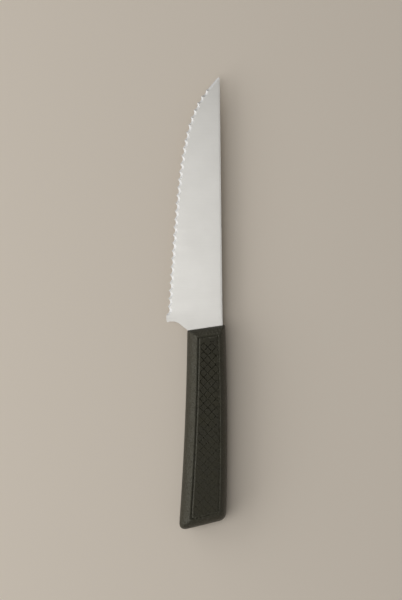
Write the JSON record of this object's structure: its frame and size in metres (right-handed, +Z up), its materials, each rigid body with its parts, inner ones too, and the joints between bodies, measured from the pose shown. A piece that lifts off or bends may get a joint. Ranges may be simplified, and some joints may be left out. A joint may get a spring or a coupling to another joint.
{
  "type": "steak knife",
  "caption": "Serrated steak knife with a satin steel blade, scalloped edge and round choil, and a black moulded handle with crowned sides, a V-groove frame and a diamond-checked grip panel.",
  "frame": {"origin": "under the middle of the knife's box, on the surface that the handle's flat side lies on", "axes": "+Y from the butt to the point, +X from the edge to the back of the blade, +Z up out of the side that the teeth are ground from"},
  "size_m": [0.0304, 0.2258, 0.013],
  "materials": {
    "blade_steel": "satin, ground along the blade's width",
    "handle_plastic": "black, fine moulded grain, half matt"
  },
  "bodies": {
    "root": {"blade": "blade_steel", "handle": "handle_plastic"}
  },
  "joints": []
}
